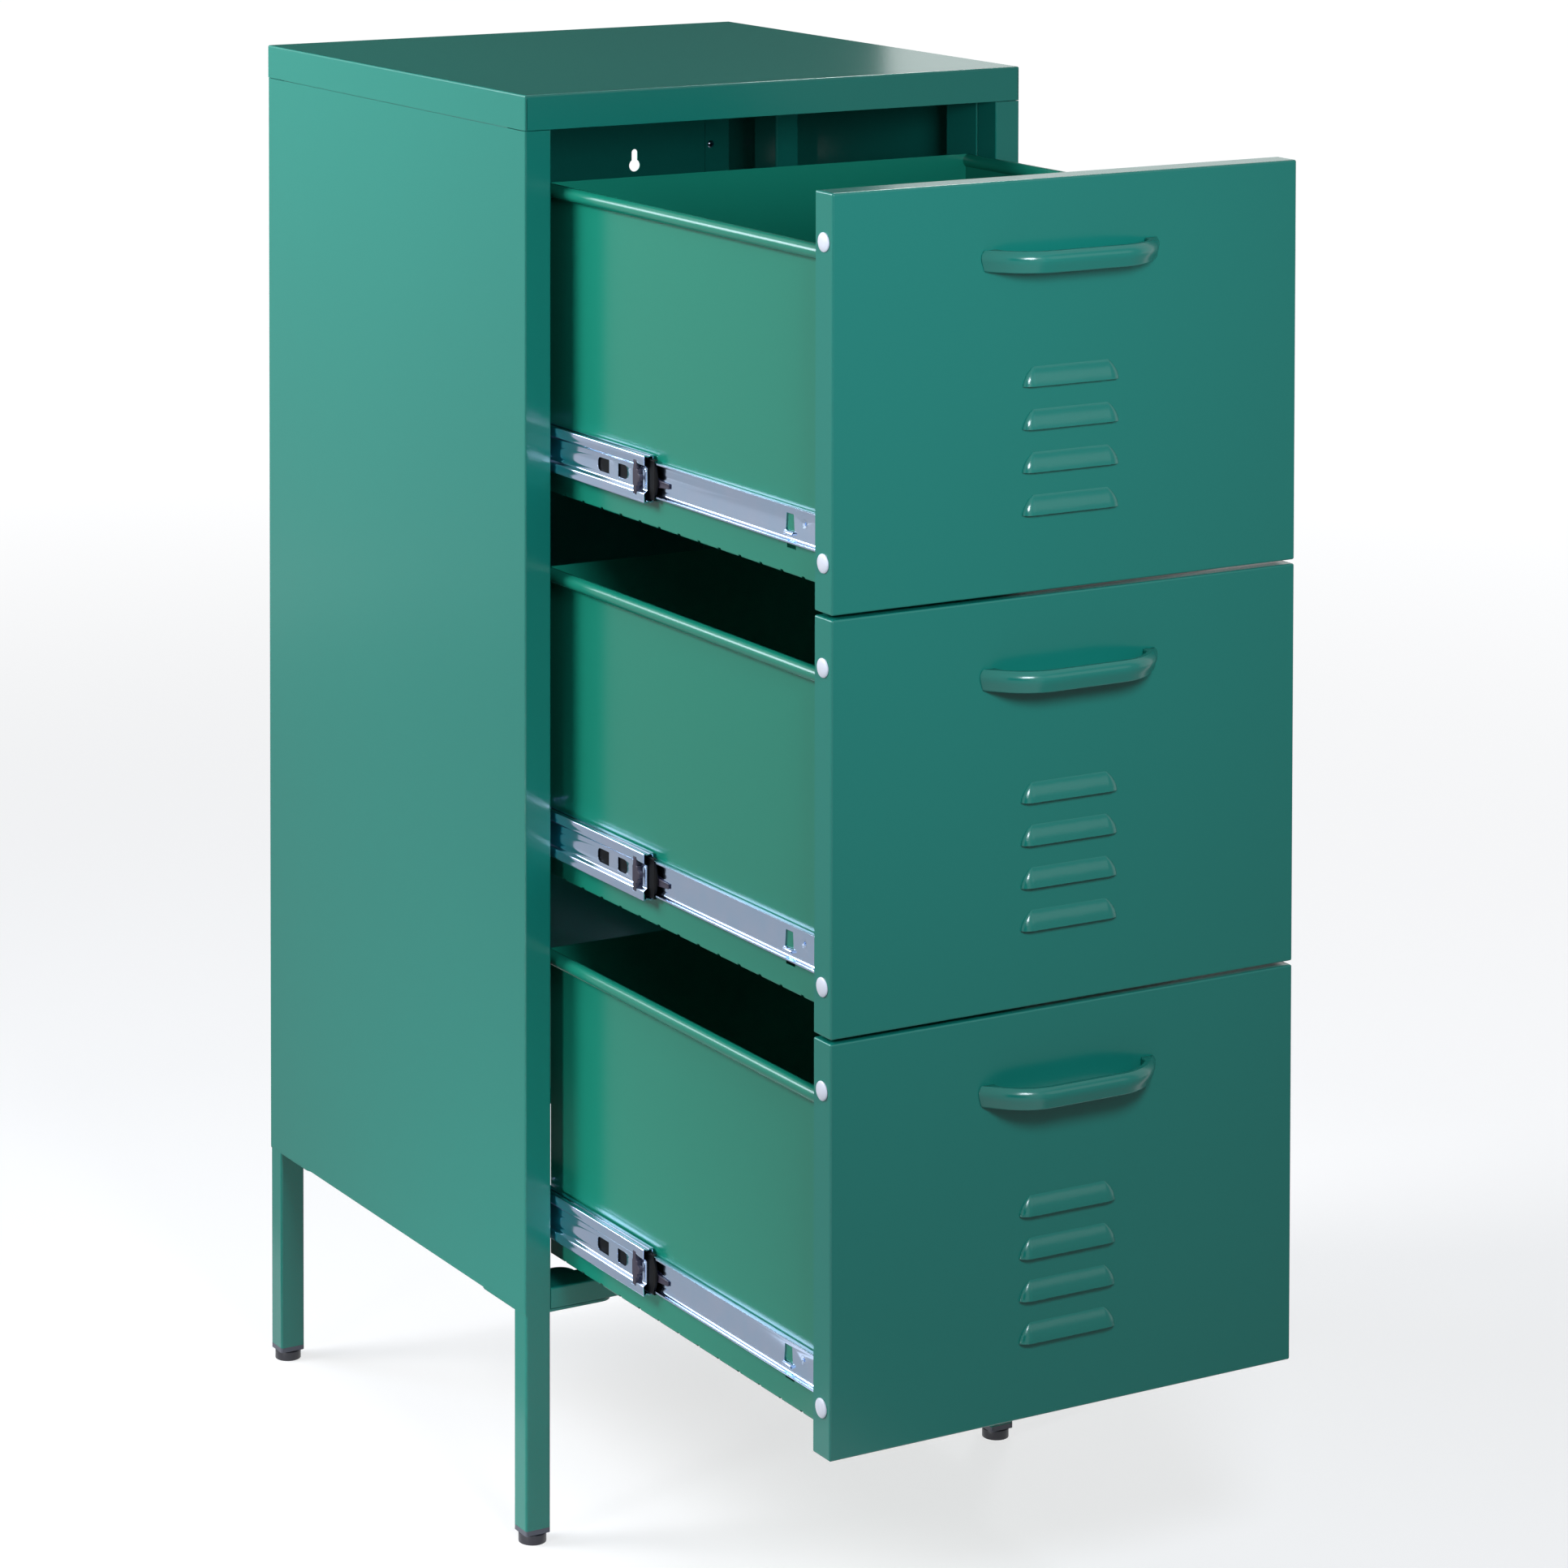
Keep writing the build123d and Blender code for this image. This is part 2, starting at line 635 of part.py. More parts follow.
def makeDrawerFasteners():
    pieces = []
    flange = boxFront + drawerSheet
    nutSection = Plane.XZ * RegularPolygon(4.0, 6)
    for height in studHeights:
        nut = Pos(-studAcross, flange, height) * extrude(nutSection, amount=-3)
        pieces.append(nut - rodY(-studAcross, (flange - 1, flange + 4), height, 2.0))
    screw = rodY(-handleHole, (boxFront, boxFront + 2.4), frontTop - handleDrop, 4.0)
    screw = fillet(screw.edges().group_by(Axis.Y)[-1], 1.2)
    pieces.append(screw + rodY(-handleHole, (openFace - 5, boxFront), frontTop - handleDrop, 1.6))
    web = -drawerSide - slideSheet
    for along, height in drawerScrewPlaces:
        head = rodX((web - 1.5, web), along, slideHeight + height, slideScrewHead)
        head = fillet(head.edges().group_by(Axis.X)[0], 0.8)
        pieces.append(head + rodX((web, -drawerSide + 4), along, slideHeight + height, 2.0))
    return bothSides(pieces)


# The cabinet
parts["top_lid"] = makeLid()
parts["side_panel_left"] = makeSidePanel()
parts["side_panel_right"] = otherSide(parts["side_panel_left"])
parts["back_panel"] = makeBackPanel()
parts["front_rail"] = makeFrontRail()
parts["slide_uprights_left"] = makeUprights()
parts["slide_uprights_right"] = otherSide(parts["slide_uprights_left"])
parts["panel_screws"] = makePanelScrews()
parts["leg_screws"] = makeLegScrews()
parts["slide_mount_screws"] = makeSlideScrews()
leg, legCap, foot = makeLeg(), makeLegCap(), makeFoot()
caps = []
for place, right, rear in (("front_left", False, False), ("front_right", True, False),
                           ("rear_left", False, True), ("rear_right", True, True)):
    parts["leg_" + place] = atCorner(leg, right, rear)
    parts["levelling_foot_" + place] = atCorner(foot, right, rear)
    caps.append(atCorner(legCap, right, rear))
parts["leg_caps"] = group(caps)

# One drawer and its slides, then copies at each level
drawer = {
    "drawer_front": makeDrawerFront(),
    "drawer_box": makeDrawerBox(),
    "handle": makeHandle(),
    "drawer_fasteners": makeDrawerFasteners(),
    "side_buffers": makeBuffers(),
    "drawer_members": bothSides([makeDrawerMember()]),
    "middle_members": bothSides([makeMiddleMember()]),
    "middle_stops": bothSides([makeStop()]),
    "cabinet_members": bothSides([makeCabinetMember()]),
    "outer_ball_cages": bothSides(makeOuterCage()),
    "inner_ball_cages": bothSides(makeInnerCage()),
    "release_lever_left": makeLever(),
}
drawer["release_lever_right"] = otherSide(drawer["release_lever_left"])
for number, name in enumerate(levelNames):
    for piece, shape in drawer.items():
        parts[piece + "_" + name] = Pos(0, 0, -number * drawerPitch) * shape

os.makedirs("parts", exist_ok=True)
for name, shape in parts.items():
    export_step(Pos(0, frameShift, 0) * shape, f"parts/{name}.step")
print(len(parts), "nodes written")
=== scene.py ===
import bpy
import bmesh
import json
import math
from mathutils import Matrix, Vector


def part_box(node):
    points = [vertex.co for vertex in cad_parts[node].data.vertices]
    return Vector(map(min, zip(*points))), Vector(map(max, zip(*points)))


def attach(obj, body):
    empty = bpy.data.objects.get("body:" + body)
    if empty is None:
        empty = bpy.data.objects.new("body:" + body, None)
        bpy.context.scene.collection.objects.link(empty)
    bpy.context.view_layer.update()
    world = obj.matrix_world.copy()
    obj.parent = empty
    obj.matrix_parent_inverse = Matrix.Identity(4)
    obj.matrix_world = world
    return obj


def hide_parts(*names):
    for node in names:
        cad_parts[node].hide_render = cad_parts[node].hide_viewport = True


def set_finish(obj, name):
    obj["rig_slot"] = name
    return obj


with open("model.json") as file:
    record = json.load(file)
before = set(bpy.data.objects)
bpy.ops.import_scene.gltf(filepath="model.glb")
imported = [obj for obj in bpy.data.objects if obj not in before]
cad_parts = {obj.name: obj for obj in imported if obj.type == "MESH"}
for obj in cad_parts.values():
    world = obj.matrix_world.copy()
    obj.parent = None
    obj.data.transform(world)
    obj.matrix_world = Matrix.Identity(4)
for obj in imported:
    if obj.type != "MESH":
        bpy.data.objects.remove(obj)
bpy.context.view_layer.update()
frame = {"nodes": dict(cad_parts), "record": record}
nodes = frame["nodes"]
levels = ("top", "middle", "bottom")
drawerPitch = 0.301
openFace = -0.417  # the drawer fronts' face at rest
slideCentre = 0.858


# Nodes and materials

def linearColour(hexValue, alpha=1.0):
    parts = [int(hexValue[i:i + 2], 16) / 255 for i in (1, 3, 5)]
    return [p / 12.92 if p <= 0.04045 else ((p + 0.055) / 1.055) ** 2.4 for p in parts] + [alpha]


def addNode(tree, kind, settings=None, links=None):
    node = tree.nodes.new(kind)
    for key, value in (settings or {}).items():
        if key in node.inputs:
            node.inputs[key].default_value = value
        else:
            setattr(node, key, value)
    for socket, source in (links or {}).items():
        tree.links.new(source, node.inputs[socket])
    return node


def newMaterial(name):
    material = bpy.data.materials.new(name)
    material.use_nodes = True
    material.node_tree.nodes.clear()
    return material, material.node_tree


def finishMaterial(material, tree, shader):
    addNode(tree, "ShaderNodeOutputMaterial", links={"Surface": shader.outputs[0]})
    material.diffuse_color = shader.inputs["Base Color"].default_value
    return material


# Polyester powder coat, sprayed and baked: an even satin green whose skin has a
# faint orange peel about 2 mm across, with no brush marks and no metal showing
def makePowderCoat(name, colour, pale):
    coat = {"roughness": 0.2, "specular": 0.45, "cloud": 3.0, "peelWidth": 0.002,
            "peelDepth": 0.0001, "peel": 0.25}
    material, tree = newMaterial(name)
    place = addNode(tree, "ShaderNodeTexCoord")
    cloud = addNode(tree, "ShaderNodeTexNoise", {"Scale": coat["cloud"], "Detail": 2.0},
                    {"Vector": place.outputs["Object"]})
    tint = addNode(tree, "ShaderNodeMix", {"data_type": "RGBA"}, {"Factor": cloud.outputs["Fac"]})
    tint.inputs["A"].default_value = linearColour(colour)
    tint.inputs["B"].default_value = linearColour(pale)
    peel = addNode(tree, "ShaderNodeTexNoise", {"Scale": 1 / coat["peelWidth"], "Detail": 1.0},
                   {"Vector": place.outputs["Object"]})
    bump = addNode(tree, "ShaderNodeBump", {"Strength": coat["peel"], "Distance": coat["peelDepth"]},
                   {"Height": peel.outputs["Fac"]})
    shader = addNode(tree, "ShaderNodeBsdfPrincipled",
                     {"Base Color": linearColour(colour), "Roughness": coat["roughness"],
                      "Specular IOR Level": coat["specular"]},
                     {"Base Color": tint.outputs["Result"], "Normal": bump.outputs["Normal"]})
    return finishMaterial(material, tree, shader)


# Cold-rolled steel, roll formed and bright zinc plated with a clear blue passivate:
# mirror-like along the rolling direction, with a faint violet and straw bloom
def makeZincPlate():
    plate = {"colour": "#b4d3f2", "bloom": "#ccd6f0", "roughness": 0.13, "bloomWidth": 0.03,
             "lineWidth": 0.0006, "lineStretch": 0.02, "lineDepth": 0.00005, "lines": 0.15}
    material, tree = newMaterial("blueZincPlate")
    place = addNode(tree, "ShaderNodeTexCoord")
    bloom = addNode(tree, "ShaderNodeTexNoise", {"Scale": 1 / plate["bloomWidth"], "Detail": 2.0},
                    {"Vector": place.outputs["Object"]})
    tint = addNode(tree, "ShaderNodeMix", {"data_type": "RGBA"}, {"Factor": bloom.outputs["Fac"]})
    tint.inputs["A"].default_value = linearColour(plate["colour"])
    tint.inputs["B"].default_value = linearColour(plate["bloom"])
    along = addNode(tree, "ShaderNodeMapping", {"Scale": (1.0, plate["lineStretch"], 1.0)},
                    {"Vector": place.outputs["Object"]})
    lines = addNode(tree, "ShaderNodeTexNoise", {"Scale": 1 / plate["lineWidth"], "Detail": 1.0},
                    {"Vector": along.outputs["Vector"]})
    bump = addNode(tree, "ShaderNodeBump", {"Strength": plate["lines"], "Distance": plate["lineDepth"]},
                   {"Height": lines.outputs["Fac"]})
    shader = addNode(tree, "ShaderNodeBsdfPrincipled",
                     {"Base Color": linearColour(plate["colour"]), "Metallic": 1.0,
                      "Roughness": plate["roughness"]},
                     {"Base Color": tint.outputs["Result"], "Normal": bump.outputs["Normal"]})
    return finishMaterial(material, tree, shader)


# Injection-moulded nylon, used for the white buttons and for the black feet and clips
def makeNylon(name, colour, roughness, gloss=0.5):
    moulded = {"grainWidth": 0.0008, "grainDepth": 0.00004, "grain": 0.3, "index": 1.53}
    material, tree = newMaterial(name)
    place = addNode(tree, "ShaderNodeTexCoord")
    grain = addNode(tree, "ShaderNodeTexNoise", {"Scale": 1 / moulded["grainWidth"], "Detail": 2.0},
                    {"Vector": place.outputs["Object"]})
    bump = addNode(tree, "ShaderNodeBump",
                   {"Strength": moulded["grain"], "Distance": moulded["grainDepth"]},
                   {"Height": grain.outputs["Fac"]})
    shader = addNode(tree, "ShaderNodeBsdfPrincipled",
                     {"Base Color": linearColour(colour), "Roughness": roughness,
                      "IOR": moulded["index"], "Specular IOR Level": gloss},
                     {"Normal": bump.outputs["Normal"]})
    return finishMaterial(material, tree, shader)


greenPowderCoat = makePowderCoat("satinGreenPowderCoat", "#13766a", "#15796c")
drawerPowderCoat = makePowderCoat("drawerGreenPowderCoat", "#137864", "#157b66")
zincPlate = makeZincPlate()
whiteNylon = makeNylon("whiteNylon", "#d4d8e4", 0.3)
blackNylon = makeNylon("blackNylon", "#26262f", 0.35)
clipNylon = makeNylon("clipNylon", "#35313f", 0.4, 0.3)
# The ball cages' nylon is darker and duller than the black nylon: painted shade for cage noses that sit
# deep in shadow
cageNylonPaintedShade = makeNylon("cageNylonPaintedShade", "#08090c", 0.5, 0.1)
greyPolythene = makeNylon("greyPolythene", "#4a4d58", 0.45)
print("materials made")


# CAD nodes take the finish of their slot

finishes = {"green_powder_coat": greenPowderCoat, "zinc_plated_steel": zincPlate,
            "dark_grey_plastic": greyPolythene, "black_plastic": blackNylon,
            "white_nylon": whiteNylon}
for subpart in frame["record"]["subparts"]:
    node = nodes[subpart["node"]]
    node.data.materials.clear()
    node.data.materials.append(finishes[subpart["material_slot"]])
for level in levels:
    nodes["drawer_box_" + level].data.materials[0] = drawerPowderCoat
    # The ball cages take that darker, duller nylon: painted shade standing in for the shadow they sit
    # in
    nodes["inner_ball_cages_" + level].data.materials[0] = cageNylonPaintedShade
print(len(nodes), "nodes finished")


# Modelling

def selectOnly(piece):
    bpy.ops.object.select_all(action="DESELECT")
    bpy.context.view_layer.objects.active = piece
    piece.select_set(True)


def addBlock(name, low, high):
    bpy.ops.object.select_all(action="DESELECT")
    centre = [(a + b) / 2 for a, b in zip(low, high)]
    bpy.ops.mesh.primitive_cube_add(size=1, location=centre, scale=[b - a for a, b in zip(low, high)])
    return settle(name)


def addRod(name, start, axis, length, radius, sides=48):
    turn = {"X": (0, math.pi / 2, 0), "Y": (-math.pi / 2, 0, 0), "Z": (0, 0, 0)}[axis]
    centre = [start[i] + (length / 2 if "XYZ"[i] == axis else 0) for i in range(3)]
    bpy.ops.object.select_all(action="DESELECT")
    bpy.ops.mesh.primitive_cylinder_add(vertices=sides, radius=radius, depth=abs(length),
                                        location=centre, rotation=turn)
    return settle(name)


def settle(name):
    bpy.ops.object.transform_apply(location=True, rotation=True, scale=True)
    piece = bpy.context.object
    piece.name = name
    return piece


def pick(kind, test):
    bpy.ops.mesh.select_mode(type=kind)
    bpy.ops.mesh.select_all(action="DESELECT")
    shape = bmesh.from_edit_mesh(bpy.context.object.data)
    if kind == "VERT":
        chosen = [v for v in shape.verts if test(v.co)]
    elif kind == "EDGE":
        chosen = [e for e in shape.edges if test((e.verts[0].co + e.verts[1].co) / 2, e)]
    else:
        chosen = [f for f in shape.faces if test(f.calc_center_median(), f.normal)]
    for item in chosen:
        item.select_set(True)
    shape.select_flush_mode()
    bmesh.update_edit_mesh(bpy.context.object.data)


def edit(piece):
    selectOnly(piece)
    bpy.ops.object.mode_set(mode="EDIT")


def extrudeBy(step):
    bpy.ops.mesh.extrude_region_move(TRANSFORM_OT_translate={"value": step})


def closeEdit(outwards=False):
    if outwards:
        bpy.ops.mesh.select_all(action="SELECT")
        bpy.ops.mesh.remove_doubles(threshold=0.000005)
        bpy.ops.mesh.normals_make_consistent(inside=False)
    bpy.ops.object.mode_set(mode="OBJECT")


def roundEdges(piece, width, segments=3, angle=40):
    selectOnly(piece)
    bevel = piece.modifiers.new("roundedEdges", "BEVEL")
    bevel.width = width
    bevel.segments = segments
    bevel.limit_method = "ANGLE"
    bevel.angle_limit = math.radians(angle)
    bpy.ops.object.modifier_apply(modifier=bevel.name)


def finishPiece(piece, body, slot, material, *nodes, smooth=35):
    selectOnly(piece)
    bpy.ops.object.shade_smooth_by_angle(angle=math.radians(smooth))
    piece.data.materials.clear()
    piece.data.materials.append(material)
    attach(piece, body)
    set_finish(piece, slot)
    if nodes:
        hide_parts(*nodes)
    return piece


def copyPiece(piece, name, shift, body, flip=False, nodes=()):
    selectOnly(piece)
    bpy.ops.object.duplicate(linked=False)
    copy = bpy.context.object
    copy.name = name
    copy.parent = None
    if flip:
        bpy.ops.transform.resize(value=(-1, 1, 1), center_override=(0, 0, 0))
    bpy.ops.transform.translate(value=shift)
    bpy.ops.object.transform_apply(location=True, rotation=True, scale=True)
    if flip:
        edit(copy)
        closeEdit(outwards=True)
    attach(copy, body)
    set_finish(copy, piece["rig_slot"])
    if nodes:
        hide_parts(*nodes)
    return copy


# Handles: a bow with a slightly crowned face, spun round its bends, whose feet widen to
# the drawer front

handle = {"bar": 0.0045, "crown": 0.0013, "lean": 48.24, "bendRadius": 0.05, "bendSteps": 24,
          "bendStart": 0.02961, "legLength": 0.01515, "footWidening": 0.008, "edge": 0.0015,
          "rise": ((-0.0066, 0.32), (-0.0045, 0.68), (-0.0022, 0.92), (0, 1.0), (0.0022, 0.92),
                   (0.0045, 0.68), (0.0066, 0.32))}


def makeHandle():
    low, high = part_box("handle_top")
    face = high.y
    middle = (low.z + high.z) / 2
    piece = addBlock("bowHandle_top", (-handle["bendStart"], low.y, low.z),
                     (0, low.y + handle["bar"], high.z))
    edit(piece)
    for offset, share in handle["rise"]:
        bpy.ops.mesh.select_all(action="SELECT")
        bpy.ops.mesh.bisect(plane_co=(0, 0, middle + offset), plane_no=(0, 0, 1))
        pick("VERT", lambda v: abs(v.z - middle - offset) < 0.0001 and v.y < low.y + 0.0001)
        bpy.ops.transform.translate(value=(0, -handle["crown"] * share, 0))
    bpy.ops.mesh.select_all(action="SELECT")
    bpy.ops.transform.translate(value=(0, handle["crown"], 0))
    lean = math.radians(handle["lean"])
    pick("FACE", lambda c, n: n.x < -0.9)
    bpy.ops.mesh.spin(steps=handle["bendSteps"], angle=lean, axis=(0, 0, 1),
                      center=(-handle["bendStart"], low.y + handle["bendRadius"], 0))
    way = Vector((-math.cos(lean), math.sin(lean), 0))
    pick("FACE", lambda c, n: n.dot(way) > 0.95 and abs(n.z) < 0.1)
    extrudeBy(way * handle["legLength"])
    bpy.ops.transform.resize(value=(1, 0, 1), center_override=(0, face, 0))
    pick("VERT", lambda v: abs(v.y - face) < 0.0001 and v.x > low.x + 0.003)
    bpy.ops.transform.translate(value=(handle["footWidening"], 0, 0))
    pick("FACE", lambda c, n: n.x > 0.99 and c.x > -0.0001)
    bpy.ops.mesh.delete(type="FACE")
    closeEdit()
    mirror = piece.modifiers.new("otherHalf", "MIRROR")
    mirror.merge_threshold = 0.00002
    bpy.ops.object.modifier_apply(modifier=mirror.name)
    edit(piece)
    closeEdit(outwards=True)
    roundEdges(piece, handle["edge"], 3, 50)
    return finishPiece(piece, "drawer_top", "green_powder_coat", greenPowderCoat, "handle_top")


bowHandle = makeHandle()
for step, level in enumerate(levels[1:], 1):
    copyPiece(bowHandle, "bowHandle_" + level, (0, 0, -step * drawerPitch), "drawer_" + level,
              nodes=["handle_" + level])
print("handles made")


# Side buttons: white nylon, a thin rim and a low dome, with a split stem in the flange

button = {"radius": 0.007, "rim": 0.0009, "dome": 0.0013, "stem": 0.0048, "stemLength": 0.0055,
          "setback": 0.011, "inset": 0.0355, "edge": 0.00025,
          "steps": ((0.0009, 0.35), (0.0013, 0.33), (0.0018, 0.24), (0.0018, 0.08))}


def makeButton():
    low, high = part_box("drawer_front_top")
    y = openFace + button["setback"]
    z = high.z - button["inset"]
    face = low.x
    piece = addRod("sideButton_top_1", (face - button["rim"], y, z), "X", button["rim"],
                   button["radius"], 40)
    edit(piece)
    pick("FACE", lambda c, n: n.x < -0.9)
    for width, rise in button["steps"]:
        bpy.ops.mesh.inset(thickness=width)
        bpy.ops.transform.translate(value=(-button["dome"] * rise, 0, 0))
    pick("FACE", lambda c, n: n.x > 0.9)
    bpy.ops.mesh.inset(thickness=button["radius"] - button["stem"])
    extrudeBy((button["stemLength"], 0, 0))
    bpy.ops.transform.resize(value=(1, 0.8, 0.8))
    closeEdit(outwards=True)
    roundEdges(piece, button["edge"], 2, 50)
    return finishPiece(piece, "drawer_top", "white_nylon", whiteNylon, "side_buffers_top")


sideButton = makeButton()
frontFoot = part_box("drawer_front_top")[0].z
lowerButton = frontFoot + button["inset"] - sideButton.bound_box[0][2] - button["radius"]
for step, level in enumerate(levels):
    for number, drop, flip in ((1, 0, False), (2, lowerButton, False),
                               (3, 0, True), (4, lowerButton, True)):
        if (step, number) != (0, 1):
            copyPiece(sideButton, f"sideButton_{level}_{number}", (0, 0, drop - step * drawerPitch),
                      "drawer_" + level, flip, ["side_buffers_" + level])
print("side buttons made")


# Slide members, roll formed: the middle one has a recessed web, two ridges and grooved
# flanges, the drawer's one is a channel with rounded races and a hooked window

slide = {"face": -0.207, "centre": slideCentre, "memberEnd": -0.156, "web": 0.0054}
member = {"ends": (-0.156, 0.229), "half": 0.018, "sheet": 0.0012, "ridge": 0.0024, "recess": 0.003,
          "depth": 0.009, "webHalf": 0.0086, "wallHalf": 0.0106, "edge": 0.0009, "rim": 0.0003,
          "race": ((0.001, 0), (0.0008, -0.0008), (0.0018, 0), (0.0008, 0.0008), (0.0022, 0),
                   (0.0012, 0)),
          "raceHalf": 0.014, "tip": 0.0018, "windows": ((-0.1265, -0.112), (-0.0985, -0.081)),
          "windowHalf": 0.00525, "windowRound": 0.004,
          "stopSlots": ((0.0085, 0.0165, 0.0065), (0.0107, 0.0157, 0.013)),
          "noseSlot": (0.0095, 0.0036)}


def cutOut(piece, cutter):
    selectOnly(piece)
    hole = piece.modifiers.new("cutOut", "BOOLEAN")
    hole.operation = "DIFFERENCE"
    hole.object = cutter
    bpy.ops.object.modifier_apply(modifier=hole.name)
    bpy.data.objects.remove(cutter)


# The two edges that run along a slide at one depth, above and below its middle
def pickLong(x, reach):
    pick("EDGE", lambda c, e: abs(c.x - x) < 0.0001
         and abs(abs(c.z - slide["centre"]) - reach) < 0.0001
         and abs(e.verts[0].co.y - e.verts[1].co.y) > 0.05)


def makeMiddleMember():
    mid, half, sheet = slide["centre"], member["half"], member["sheet"]
    outside = slide["face"] + member["ridge"]
    piece = addBlock("middleMember_left_top", (outside, member["ends"][0], mid - half),
                     (outside + sheet, member["ends"][1], mid + half))
    edit(piece)
    for reach in (member["webHalf"], member["wallHalf"], half - sheet):
        for way in (-1, 1):
            bpy.ops.mesh.select_all(action="SELECT")
            bpy.ops.mesh.bisect(plane_co=(0, 0, mid + way * reach), plane_no=(0, 0, 1))
    pick("VERT", lambda v: abs(v.z - mid) < member["webHalf"] + 0.0001)
    bpy.ops.transform.translate(value=(member["recess"], 0, 0))
    for way in (-1, 1):
        pick("FACE", lambda c, n: n.x > 0.9 and (c.z - mid) * way > half - sheet)
        for out, rise in member["race"]:
            extrudeBy((out, 0, way * rise))
        inside = outside + sheet + sum(out for out, rise in member["race"][:-1])
        pick("FACE", lambda c, n: n.z * way < -0.9 and c.x > inside
             and (c.z - mid) * way > member["raceHalf"])
        extrudeBy((0, 0, -way * member["tip"]))
    for x, reach, width in ((outside, half, 1.0), (outside, member["wallHalf"], 0.8),
                            (outside + member["recess"], member["webHalf"], 0.8)):
        pickLong(x, reach)
        bpy.ops.mesh.bevel(offset=member["edge"] * width, segments=4, affect="EDGES")
    closeEdit(outwards=True)
    near, far = slide["face"], slide["face"] + member["depth"]
    for number, place in enumerate(member["windows"]):
        cutter = addBlock("windowCutter", (near, place[0], mid - member["windowHalf"]),
                          (far, place[1], mid + member["windowHalf"]))
        edit(cutter)
        end = place[number]
        pick("EDGE", lambda c, e: abs(c.y - end) < 0.0001
             and abs(e.verts[0].co.x - e.verts[1].co.x) > 0.001)
        bpy.ops.mesh.bevel(offset=member["windowRound"], segments=6, affect="EDGES")
        closeEdit()
        cutOut(piece, cutter)
    end = slide["memberEnd"]
    for low, high, reach in member["stopSlots"]:
        cutOut(piece, addBlock("stopCutter", (near, end + low, mid - reach),
                               (far, end + high, mid + reach)))
    place, radius = member["noseSlot"]
    cutOut(piece, addRod("noseCutter", (near, end + place, mid), "X", member["depth"], radius, 32))
    roundEdges(piece, member["rim"], 2, 40)
    return finishPiece(piece, "middle_slides_top", "zinc_plated_steel", zincPlate, "middle_members_top")


runner = {"ends": (-0.393, 0.007), "side": -0.194, "half": 0.01325, "sheet": 0.0012,
          "reach": 0.0039, "race": 0.0024, "back": 0.003, "tip": 0.00055,
          "window": (-0.355, -0.343), "windowFoot": -0.0055, "windowHead": 0.007,
          "windowTaper": 0.84, "hook": (-0.1978, -0.3548, -0.3432), "hookHeight": 0.0026,
          "hookRound": 0.0021, "hookEdge": 0.0003, "screws": ((-0.369, 0.0025), (-0.032, 0)),
          "screwHole": 0.0033}


def makeDrawerMember():
    mid, half, sheet, side = slide["centre"], runner["half"], runner["sheet"], runner["side"]
    web = side - sheet
    piece = addBlock("drawerMember_left_top", (web, runner["ends"][0], mid - half),
                     (side, runner["ends"][1], mid + half))
    edit(piece)
    for way in (-1, 1):
        bpy.ops.mesh.select_all(action="SELECT")
        bpy.ops.mesh.bisect(plane_co=(0, 0, mid + way * (half - sheet)), plane_no=(0, 0, 1))
    for way in (-1, 1):
        pick("FACE", lambda c, n: n.x < -0.9 and (c.z - mid) * way > half - sheet)
        extrudeBy((-runner["reach"], 0, 0))
    for x, reach, width in ((web, half - sheet, "race"), (side, half, "back")):
        pickLong(x, reach)
        bpy.ops.mesh.bevel(offset=runner[width], segments=6, affect="EDGES")
    closeEdit(outwards=True)
    low, high = runner["window"]
    past = 0.002
    cutter = addBlock("windowCutter", (web - past, low, mid + runner["windowFoot"]),
                      (side + past, high, mid + runner["windowHead"]))
    edit(cutter)
    pick("FACE", lambda c, n: n.z > 0.9)
    bpy.ops.transform.resize(value=(1, runner["windowTaper"], 1))
    closeEdit()
    cutOut(piece, cutter)
    for along, rise in runner["screws"]:
        cutOut(piece, addRod("screwHole", (web - past, along, mid + rise), "X", 3 * past,
                             runner["screwHole"], 32))
    roundEdges(piece, runner["tip"], 3, 40)
    outside, low, high = runner["hook"]
    foot = mid + runner["windowFoot"]
    hook = addBlock("windowHook", (outside, low, foot - runner["hookHeight"]),
                    (side - 0.0002, high, foot))
    edit(hook)
    pick("EDGE", lambda c, e: c.x < outside + 0.0001 and c.z > foot - 0.0001)
    bpy.ops.mesh.bevel(offset=runner["hookRound"], segments=6, affect="EDGES")
    closeEdit(outwards=True)
    roundEdges(hook, runner["hookEdge"], 3, 40)
    selectOnly(piece)
    hook.select_set(True)
    bpy.ops.object.join()
    return finishPiece(piece, "drawer_top", "zinc_plated_steel", zincPlate, "drawer_members_top")


middleMember, drawerMember = makeMiddleMember(), makeDrawerMember()
for step, level in enumerate(levels):
    for side in ("left", "right"):
        if (step, side) == (0, "left"):
            continue
        drop, right = (0, 0, -step * drawerPitch), side == "right"
        copyPiece(middleMember, f"middleMember_{side}_{level}", drop, "middle_slides_" + level, right,
                  ["middle_members_" + level])
        copyPiece(drawerMember, f"drawerMember_{side}_{level}", drop, "drawer_" + level, right,
                  ["drawer_members_" + level])
print("slide members made")


# Slide stops: a black clip with two ears and a round nose, beside a zinc tongue of the member

stop = {"body": (0.0087, 0.0163), "half": 0.0063, "ear": (0.0109, 0.0155), "earReach": 0.0128,
        "earTaper": 0.85, "nose": 0.0057, "noseHalf": 0.0034, "noseTaper": 0.55,
        "noseRound": 0.0012, "proud": 0.0022, "deep": 0.0062, "edge": 0.0004}


